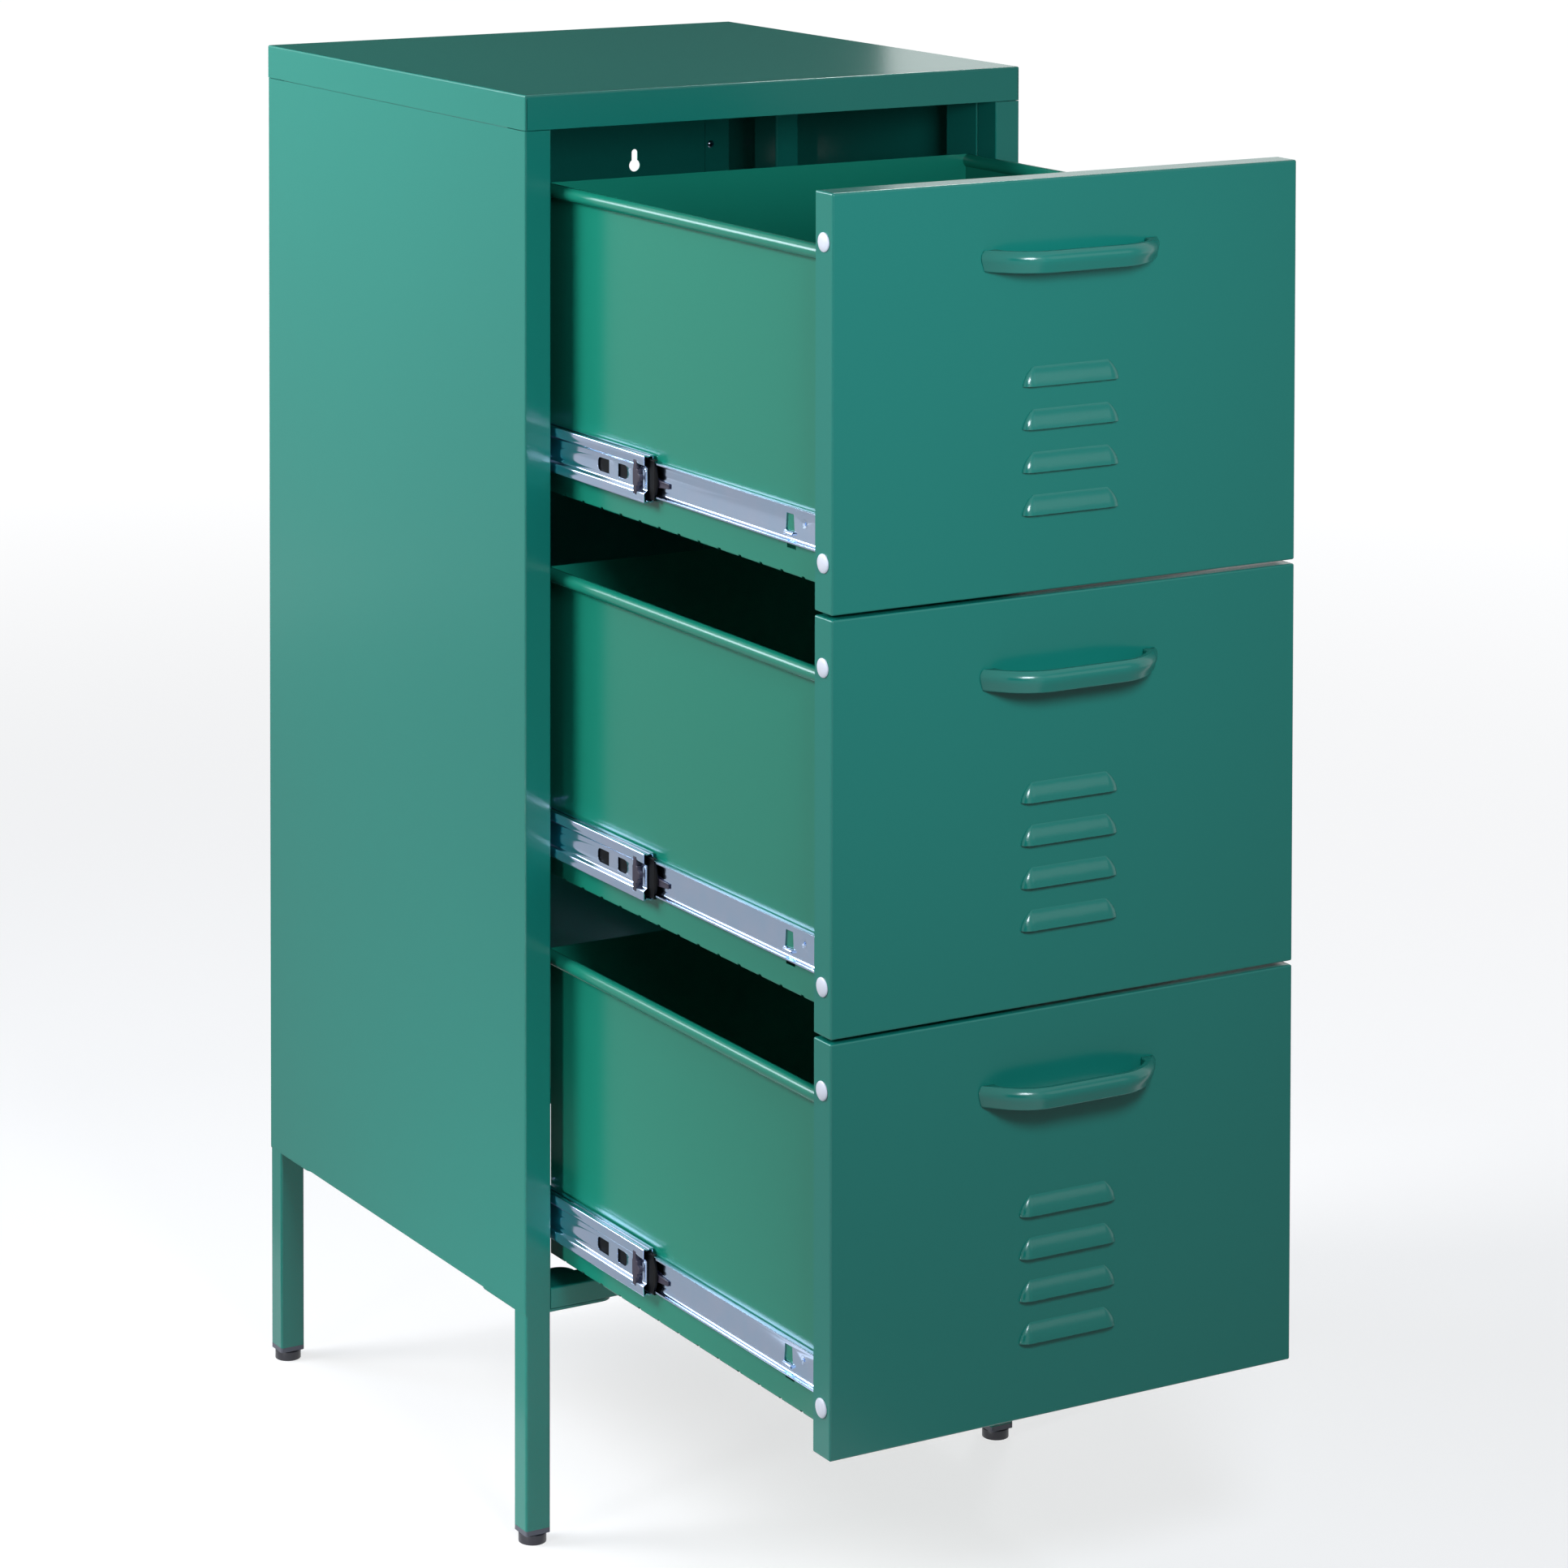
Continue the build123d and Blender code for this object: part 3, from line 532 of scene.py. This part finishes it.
def makeStopClip():
    end, mid, half = slide["memberEnd"], slide["centre"], stop["half"]
    front, back = (end + d for d in stop["body"])
    piece = addBlock("stopClip_left_top", (slide["face"] + stop["proud"], front, mid - half),
                     (slide["face"] + stop["deep"], back, mid + half))
    edit(piece)
    earFront, earBack = (end + d for d in stop["ear"])
    for y in (earFront, earBack):
        bpy.ops.mesh.select_all(action="SELECT")
        bpy.ops.mesh.bisect(plane_co=(0, y, 0), plane_no=(0, 1, 0))
    for z in (-stop["noseHalf"], stop["noseHalf"]):
        bpy.ops.mesh.select_all(action="SELECT")
        bpy.ops.mesh.bisect(plane_co=(0, 0, mid + z), plane_no=(0, 0, 1))
    for way in (-1, 1):
        pick("FACE", lambda c, n: n.z * way > 0.9 and earFront < c.y < earBack)
        extrudeBy((0, 0, way * (stop["earReach"] - half)))
        bpy.ops.transform.resize(value=(1, stop["earTaper"], 1))
    pick("FACE", lambda c, n: n.y < -0.9 and abs(c.z - mid) < stop["noseHalf"])
    extrudeBy((0, stop["nose"] - stop["body"][0], 0))
    bpy.ops.transform.resize(value=(1, 1, stop["noseTaper"]))
    pick("EDGE", lambda c, e: abs(e.verts[0].co.x - e.verts[1].co.x) > 0.003
         and c.y < end + stop["nose"] + 0.0001)
    bpy.ops.mesh.bevel(offset=stop["noseRound"], segments=4, affect="EDGES")
    closeEdit(outwards=True)
    roundEdges(piece, stop["edge"], 3, 30)
    return finishPiece(piece, "middle_slides_top", "black_plastic", clipNylon, "middle_stops_top")


# Slide ends: a zinc lip pressed up from the web in front of the clip

lip = {"from": 0.0012, "to": 0.0048, "half": 0.0072, "proud": 0.0048, "round": 0.0016,
       "rim": 0.0008, "dish": 0.0004, "overlap": 0.0003, "edge": 0.0002}


def makeSlideLip():
    end, mid = slide["memberEnd"], slide["centre"]
    piece = addBlock("slideLip_left_top",
                     (slide["face"] + lip["proud"], end + lip["from"], mid - lip["half"]),
                     (slide["face"] + slide["web"] + lip["overlap"], end + lip["to"],
                      mid + lip["half"]))
    edit(piece)
    pick("EDGE", lambda c, e: abs(e.verts[0].co.x - e.verts[1].co.x) > 0.0005)
    bpy.ops.mesh.bevel(offset=lip["round"], segments=6, affect="EDGES")
    pick("FACE", lambda c, n: n.x < -0.9)
    bpy.ops.mesh.inset(thickness=lip["rim"])
    bpy.ops.transform.translate(value=(lip["dish"], 0, 0))
    closeEdit(outwards=True)
    roundEdges(piece, lip["edge"], 2, 40)
    return finishPiece(piece, "middle_slides_top", "zinc_plated_steel", zincPlate)


# Release levers: a plastic tongue that narrows to a rounded tip with a dished thumb pad

lever = {"half": 0.0045, "tip": 0.0019, "tipThin": 0.0009, "neck": 0.0031, "neckPlace": 0.0175,
         "heel": 0.020, "padRim": 0.0011, "pad": 0.0004, "edge": 0.0005, "drop": -0.0024,
         "pinReach": 0.0013, "pinBack": 0.0035, "pinPlace": 0.006, "pinLength": 0.0048,
         "pinRadius": 0.00155, "pinEdge": 0.0002}


def makeLever():
    low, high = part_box("release_lever_left_top")
    pivot, half = slide["centre"], lever["half"]
    tip = low.y
    neck = tip + lever["neckPlace"]
    inside = high.x - lever["pinReach"]
    piece = addBlock("releaseLever_left_top", (low.x, tip, pivot - half),
                     (inside, high.y, pivot + half))
    edit(piece)
    for y in (neck, high.y - lever["heel"]):
        bpy.ops.mesh.select_all(action="SELECT")
        bpy.ops.mesh.bisect(plane_co=(0, y, 0), plane_no=(0, 1, 0))
    for y, reach in ((tip, lever["tip"]), (neck, lever["neck"])):
        for way in (-1, 1):
            pick("VERT", lambda v: abs(v.y - y) < 0.0002 and (v.z - pivot) * way > 0)
            bpy.ops.transform.translate(value=(0, 0, lever["drop"] + way * (reach - half)))
    pick("VERT", lambda v: abs(v.y - tip) < 0.0002 and v.x < low.x + 0.0001)
    bpy.ops.transform.translate(value=(lever["tipThin"], 0, 0))
    pick("FACE", lambda c, n: n.x < -0.9 and c.y < neck)
    bpy.ops.mesh.inset(thickness=lever["padRim"])
    bpy.ops.transform.translate(value=(lever["pad"], 0, 0))
    closeEdit(outwards=True)
    roundEdges(piece, lever["edge"], 4, 30)
    pin = addRod("leverPin", (inside - lever["pinBack"], high.y - lever["pinPlace"], pivot), "X",
                 lever["pinLength"], lever["pinRadius"], 24)
    roundEdges(pin, lever["pinEdge"], 2, 40)
    selectOnly(piece)
    pin.select_set(True)
    bpy.ops.object.join()
    return finishPiece(piece, "lever_left_top", "black_plastic", clipNylon, "release_lever_left_top")


stopClip, slideLip, releaseLever = makeStopClip(), makeSlideLip(), makeLever()
for step, level in enumerate(levels):
    drop = (0, 0, -step * drawerPitch)
    for side in ("left", "right"):
        if (step, side) == (0, "left"):
            continue
        right = side == "right"
        copyPiece(stopClip, f"stopClip_{side}_{level}", drop, "middle_slides_" + level, right,
                  ["middle_stops_" + level])
        copyPiece(slideLip, f"slideLip_{side}_{level}", drop, "middle_slides_" + level, right)
        copyPiece(releaseLever, f"releaseLever_{side}_{level}", drop, f"lever_{side}_{level}", right,
                  [f"release_lever_{side}_{level}"])
print("slide details made")


# Fasteners, modelled pointing up at the middle and copied to their places: pan heads
# with a cross recess, hexagon nuts with turned corners

fastener = {"sides": 32, "headRim": 0.55, "crown": ((0.18, 0.3), (0.22, 0.17), (0.25, 0.08)),
            "recessLong": 0.62, "recessWide": 0.2, "recessDeep": 0.6, "recessTaper": 0.7,
            "sunk": 0.0011, "sunkRim": 0.08, "sunkSlope": 0.42, "sunkFoot": 0.04, "sunkShare": 0.8,
            "nutTurn": 0.0005, "nutRise": 0.4, "nutCorner": 0.04, "nutRim": 0.12, "past": 0.001}


def makePanHead(name, radius, height, shank, length):
    head = addRod(name, (0, 0, 0), "Z", height, radius, fastener["sides"])
    edit(head)
    pick("FACE", lambda c, n: n.z > 0.9)
    bpy.ops.transform.translate(value=(0, 0, -height * fastener["headRim"]))
    for share, rise in fastener["crown"]:
        bpy.ops.mesh.inset(thickness=radius * share)
        bpy.ops.transform.translate(value=(0, 0, height * rise))
    pick("FACE", lambda c, n: n.z < -0.9)
    bpy.ops.mesh.inset(thickness=radius - shank)
    extrudeBy((0, 0, -length))
    closeEdit(outwards=True)
    long, wide = radius * fastener["recessLong"], radius * fastener["recessWide"]
    base = height * (1 - fastener["recessDeep"])
    for x, y in ((long, wide), (wide, long)):
        cutter = addBlock("recessCutter", (-x, -y, base), (x, y, height + fastener["past"]))
        edit(cutter)
        pick("FACE", lambda c, n: n.z < -0.9)
        bpy.ops.transform.resize(value=(fastener["recessTaper"], fastener["recessTaper"], 1))
        closeEdit()
        cutOut(head, cutter)
    return head


def makeSunkScrew(name, radius, shank, length):
    head = addRod(name, (0, 0, -fastener["sunk"]), "Z", fastener["sunk"], radius, fastener["sides"])
    edit(head)
    pick("FACE", lambda c, n: n.z > 0.9)
    bpy.ops.mesh.inset(thickness=radius * fastener["sunkRim"])
    bpy.ops.mesh.inset(thickness=radius * fastener["sunkSlope"])
    bpy.ops.transform.translate(value=(0, 0, -fastener["sunk"] * fastener["sunkShare"]))
    bpy.ops.mesh.inset(thickness=radius * fastener["sunkFoot"])
    extrudeBy((0, 0, -fastener["sunk"]))
    pick("FACE", lambda c, n: n.z < -0.9)
    bpy.ops.mesh.inset(thickness=radius - shank)
    extrudeBy((0, 0, -length))
    closeEdit(outwards=True)
    return head


def makeHexNut(name, radius, height, hole):
    nut = addRod(name, (0, 0, 0), "Z", height, radius, 6)
    edit(nut)
    pick("EDGE", lambda c, e: abs(e.verts[0].co.z - e.verts[1].co.z) > height / 2)
    bpy.ops.mesh.bevel(offset=radius * fastener["nutCorner"], segments=1, affect="EDGES")
    pick("FACE", lambda c, n: n.z > 0.9)
    bpy.ops.mesh.inset(thickness=radius * fastener["nutRim"])
    bpy.ops.transform.translate(value=(0, 0, fastener["nutTurn"] * fastener["nutRise"]))
    pick("VERT", lambda v: v.z > height - 0.0001 and v.xy.length > radius * 0.9)
    bpy.ops.transform.translate(value=(0, 0, -fastener["nutTurn"]))
    closeEdit(outwards=True)
    past = fastener["past"]
    cutOut(nut, addRod("nutDrill", (0, 0, -past), "Z", height + 2 * past, hole, fastener["sides"]))
    return nut


turns = {"left": (0, -math.pi / 2, 0), "right": (0, math.pi / 2, 0), "front": (math.pi / 2, 0, 0),
         "back": (-math.pi / 2, 0, 0), "up": (0, 0, 0), "down": (math.pi, 0, 0)}


def placeCopy(pattern, name, facing, place, body, node):
    selectOnly(pattern)
    bpy.ops.object.duplicate(linked=False)
    copy = bpy.context.object
    copy.name = name
    copy.rotation_euler = turns[facing]
    copy.location = place
    bpy.ops.object.transform_apply(location=True, rotation=True, scale=True)
    return finishPiece(copy, body, "zinc_plated_steel", zincPlate, node)


# Radius, height, shank or hole, and the shank's length
panelScrew = makePanHead("panelScrewPattern", 0.0034, 0.002, 0.0016, 0.002)
legScrew = makePanHead("legScrewPattern", 0.0045, 0.003, 0.0025, 0.010)
legNut = makeHexNut("legNutPattern", 0.0046, 0.004, 0.0025)
handleScrew = makePanHead("handleScrewPattern", 0.004, 0.0024, 0.0016, 0.006)
studNut = makeHexNut("studNutPattern", 0.004, 0.003, 0.002)
slideScrew = makeSunkScrew("slideScrewPattern", 0.0032, 0.002, 0.0046)
uprightScrew = makePanHead("uprightScrewPattern", 0.003, 0.0012, 0.002, 0.005)
spots = {"panel": ((0.2095, 0.441, 1.0255), (0.2095, 0.441, 0.645), (0.2095, 0.441, 0.265)),
         "leg": ((0.217, 0.047), (0.168, -0.004), (0.217, 0.379), (0.168, 0.430)),
         "legHead": 0.182, "legNut": 0.185,
         "upright": ((0.207, 0.0335, slideCentre), (0.207, 0.3425, slideCentre)),
         "studNut": ((0.187, -0.4152, 0.8605), (0.187, -0.4152, 1.013)),
         "handle": ((0.068, -0.416, 1.046),),
         "slide": ((0.1952, -0.369, 0.8605), (0.1952, -0.032, slideCentre))}
for side, way in (("left", -1), ("right", 1)):
    inwards = "right" if side == "left" else "left"
    for number, (x, y, z) in enumerate(spots["panel"], 1):
        placeCopy(panelScrew, f"panelScrew_{side}_{number}", "front", (way * x, y, z), "cabinet",
                  "panel_screws")
    for number, (x, y) in enumerate(spots["leg"], 1):
        placeCopy(legScrew, f"legScrew_{side}_{number}", "down", (way * x, y, spots["legHead"]),
                  "cabinet", "leg_screws")
        placeCopy(legNut, f"legNut_{side}_{number}", "up", (way * x, y, spots["legNut"]),
                  "cabinet", "leg_screws")
    for step, level in enumerate(levels):
        drop = step * drawerPitch
        for number, (x, y, z) in enumerate(spots["upright"], 1):
            placeCopy(uprightScrew, f"uprightScrew_{side}_{level}_{number}", inwards,
                      (way * x, y, z - drop), "cabinet", "slide_mount_screws")
        for kind, pattern, facing, places in (("studNut", studNut, "back", spots["studNut"]),
                                              ("handleScrew", handleScrew, "back", spots["handle"]),
                                              ("slideScrew", slideScrew, side, spots["slide"])):
            for number, (x, y, z) in enumerate(places, 1):
                placeCopy(pattern, f"{kind}_{side}_{level}_{number}", facing, (way * x, y, z - drop),
                          "drawer_" + level, "drawer_fasteners_" + level)
for pattern in (panelScrew, legScrew, legNut, handleScrew, studNut, slideScrew, uprightScrew):
    bpy.data.objects.remove(pattern)
print("fasteners made")


# Levelling feet: a moulded disc on a threaded stem that runs up into the leg's cap

foot = {"radius": 0.011, "thick": 0.0074, "soleRim": 0.0012, "soleRise": 0.0004,
        "shoulder": 0.0065, "shoulderRise": 0.0006, "stem": 0.004, "thread": 0.0004,
        "pitch": 0.00125, "turns": 12, "top": 0.0414, "tipTaper": 0.8, "edge": 0.0005,
        "at": (-0.218, -0.0067), "rear": 0.4394}


def makeLevellingFoot():
    piece = addRod("levellingFoot_front_left", (*foot["at"], 0), "Z", foot["thick"], foot["radius"], 48)
    edit(piece)
    pick("FACE", lambda c, n: n.z < -0.9)
    bpy.ops.mesh.inset(thickness=foot["soleRim"])
    bpy.ops.transform.translate(value=(0, 0, foot["soleRise"]))
    pick("FACE", lambda c, n: n.z > 0.9)
    bpy.ops.mesh.inset(thickness=foot["radius"] - foot["shoulder"])
    extrudeBy((0, 0, foot["shoulderRise"]))
    bpy.ops.mesh.inset(thickness=foot["shoulder"] - foot["stem"])
    slim = 1 - foot["thread"] / foot["stem"]
    for turn in range(foot["turns"]):
        for scale in (slim, 1 / slim):
            extrudeBy((0, 0, foot["pitch"] / 2))
            bpy.ops.transform.resize(value=(scale, scale, 1), center_override=(*foot["at"], 0))
    extrudeBy((0, 0, foot["top"] - foot["thick"] - foot["shoulderRise"]
               - foot["turns"] * foot["pitch"]))
    bpy.ops.transform.resize(value=(foot["tipTaper"], foot["tipTaper"], 1),
                             center_override=(*foot["at"], 0))
    closeEdit(outwards=True)
    roundEdges(piece, foot["edge"], 3, 60)
    return finishPiece(piece, "foot_front_left", "black_plastic", blackNylon,
                       "levelling_foot_front_left")


levellingFoot = makeLevellingFoot()
for place, step, flip in (("front_right", 0, True), ("rear_left", foot["rear"], False),
                          ("rear_right", foot["rear"], True)):
    copyPiece(levellingFoot, "levellingFoot_" + place, (0, step, 0), "foot_" + place, flip,
              ["levelling_foot_" + place])
print("feet made")


# Camera

camera = {"place": (-1.97175, -3.21393, 1.52633), "yaw": 0.5031, "pitch": -0.0368,
          "lens": 108.89, "sensor": 36, "shiftX": 0.1524, "shiftY": -0.6520}
bpy.ops.object.camera_add(location=camera["place"],
                          rotation=(math.pi / 2 + camera["pitch"], 0, -camera["yaw"]))
viewCamera = bpy.context.object
viewCamera.data.lens = camera["lens"]
viewCamera.data.sensor_width = camera["sensor"]
viewCamera.data.shift_x = camera["shiftX"]
viewCamera.data.shift_y = camera["shiftY"]
bpy.context.scene.camera = viewCamera


# Floor and light

# One for the rays that see the background, straight, in gloss or through something
def whiteForSeeing(tree):
    ray = addNode(tree, "ShaderNodeLightPath")
    seen = addNode(tree, "ShaderNodeMath", {"operation": "MAXIMUM"})
    tree.links.new(ray.outputs["Is Camera Ray"], seen.inputs[0])
    tree.links.new(ray.outputs["Is Glossy Ray"], seen.inputs[1])
    both = addNode(tree, "ShaderNodeMath", {"operation": "MAXIMUM"})
    tree.links.new(seen.outputs[0], both.inputs[0])
    tree.links.new(ray.outputs["Is Transmission Ray"], both.inputs[1])
    return both


floor = {"size": 60.0, "colour": "#a8a8aa", "glow": 0.7, "near": 1.2, "far": 4.5}


# Matt white paper roll: it keeps a soft shadow under the object and turns to white
# further off
def makeFloorMaterial():
    material, tree = newMaterial("whitePaperFloor")
    seen = whiteForSeeing(tree)
    place = addNode(tree, "ShaderNodeTexCoord")
    away = addNode(tree, "ShaderNodeVectorMath", {"operation": "LENGTH"})
    tree.links.new(place.outputs["Object"], away.inputs[0])
    rise = addNode(tree, "ShaderNodeMapRange", {"From Min": floor["near"], "From Max": floor["far"],
                                                "To Min": floor["glow"], "To Max": 1.0},
                   {"Value": away.outputs["Value"]})
    paint = addNode(tree, "ShaderNodeBsdfDiffuse", {"Color": linearColour(floor["colour"])})
    glow = addNode(tree, "ShaderNodeEmission", {"Color": (1, 1, 1, 1)},
                   {"Strength": rise.outputs["Result"]})
    both = addNode(tree, "ShaderNodeAddShader")
    tree.links.new(paint.outputs[0], both.inputs[0])
    tree.links.new(glow.outputs[0], both.inputs[1])
    mixed = addNode(tree, "ShaderNodeMixShader", links={"Fac": seen.outputs[0]})
    tree.links.new(paint.outputs[0], mixed.inputs[1])
    tree.links.new(both.outputs[0], mixed.inputs[2])
    addNode(tree, "ShaderNodeOutputMaterial", links={"Surface": mixed.outputs[0]})
    return material


bpy.ops.mesh.primitive_plane_add(size=floor["size"], location=(0, 0, 0))
studioFloor = bpy.context.object
studioFloor.name = "studioFloor"
studioFloor.data.materials.append(makeFloorMaterial())

# Grey cards out of the picture that only gloss shows: they keep the flat lid, fronts and
# sides from mirroring the white background, and the camera's darkens sharp bends
cards = {
    "lidCard": {"place": (0.55, 2.42, 2.15),
                "width": 1.9, "height": 2.2, "turn": -30, "grey": 0.06},
    "cameraCard": {"place": (-2.9, -4.6, 1.4),
                   "width": 3.0, "height": 3.0, "turn": -33, "grey": 0.02},
    "frontCard": {"place": (2.2, -3.6, 2.4),
                  "width": 4.2, "height": 4.8, "turn": 35, "grey": 0.45},
    "frontFloorCard": {"place": (1.7, -2.1, 0.004),
                       "width": 3.2, "height": 3.2, "flat": True, "grey": 0.4},
    "sideCard": {"place": (-2.0, 3.2, 0.5),
                 "width": 3.6, "height": 1.2, "turn": 35, "grey": 0.6},
    "sideFloorCard": {"place": (-1.95, 1.6, 0.004),
                      "width": 3.2, "height": 3.0, "flat": True, "grey": 0.5},
}


def makeCard(name, card):
    upright = 0 if card.get("flat") else math.pi / 2
    bpy.ops.mesh.primitive_plane_add(size=1, location=card["place"],
                                     rotation=(upright, 0, math.radians(card.get("turn", 0))))
    piece = bpy.context.object
    piece.name = name
    piece.scale = (card["width"], card["height"], 1)
    material, tree = newMaterial(name + "board")
    glow = addNode(tree, "ShaderNodeEmission", {"Strength": card["grey"]})
    addNode(tree, "ShaderNodeOutputMaterial", links={"Surface": glow.outputs[0]})
    piece.data.materials.append(material)
    piece.visible_camera = False
    piece.visible_diffuse = False
    piece.visible_shadow = False


for name, card in cards.items():
    makeCard(name, card)

air = {"light": 0.08, "tint": "#d4e6ff", "seen": 1.0}
world = bpy.data.worlds.new("studioWorld")
bpy.context.scene.world = world
world.use_nodes = True
sky = world.node_tree
sky.nodes.clear()
seen = whiteForSeeing(sky)
dim = addNode(sky, "ShaderNodeBackground",
              {"Color": linearColour(air["tint"]), "Strength": air["light"]})
bright = addNode(sky, "ShaderNodeBackground", {"Color": (1, 1, 1, 1), "Strength": air["seen"]})
mixed = addNode(sky, "ShaderNodeMixShader", links={"Fac": seen.outputs[0]})
sky.links.new(dim.outputs[0], mixed.inputs[1])
sky.links.new(bright.outputs[0], mixed.inputs[2])
addNode(sky, "ShaderNodeOutputWorld", links={"Surface": mixed.outputs[0]})

lamps = {
    "keyLamp": {"place": (-0.4, -1.5, 1.36), "aim": (0, -0.4, 0.85), "size": 0.38, "power": 14.5,
                "tint": "#eef5ff"},
    "frontFill": {"place": (1.2, -2.8, 1.8), "aim": (0, -0.4, 1.0), "size": 1.6, "power": 5},
    "cameraFill": {"place": (-1.3, -3.5, 2.4), "aim": (0, -0.4, 1.0), "size": 1.4, "power": 8},
    "topLamp": {"place": (1.1, 0.9, 2.5), "aim": (0, 0, 1.0), "size": 0.25, "power": 8},
    "sideSoftbox": {"place": (-2.1, 1.05, 2.0), "aim": (-0.2, 0.2, 1.3), "size": 1.2, "power": 27,
                    "spread": 95},
    "backSoftbox": {"place": (-1.6, 1.9, 1.75), "aim": (-0.2, 0.1, 0.9), "size": 0.85, "power": 19,
                    "tint": "#e2efff"},
    "lowLamp": {"place": (-1.5, -0.38, 0.22), "aim": (-0.22, 0.05, 0.04), "size": 0.3, "power": 0.9,
                "spread": 50},
}
for name, lamp in lamps.items():
    bpy.ops.object.light_add(type="AREA", location=lamp["place"])
    light = bpy.context.object
    light.name = name
    light.data.shape = "DISK"
    light.data.size = lamp["size"]
    light.data.spread = math.radians(lamp.get("spread", 180))
    light.data.energy = lamp["power"]
    light.data.color = linearColour(lamp.get("tint", "#ffffff"))[:3]
    towards = Vector(lamp["aim"]) - Vector(lamp["place"])
    light.rotation_euler = towards.to_track_quat("-Z", "Y").to_euler()

bpy.context.scene.view_settings.view_transform = "Standard"
print("stage lit")
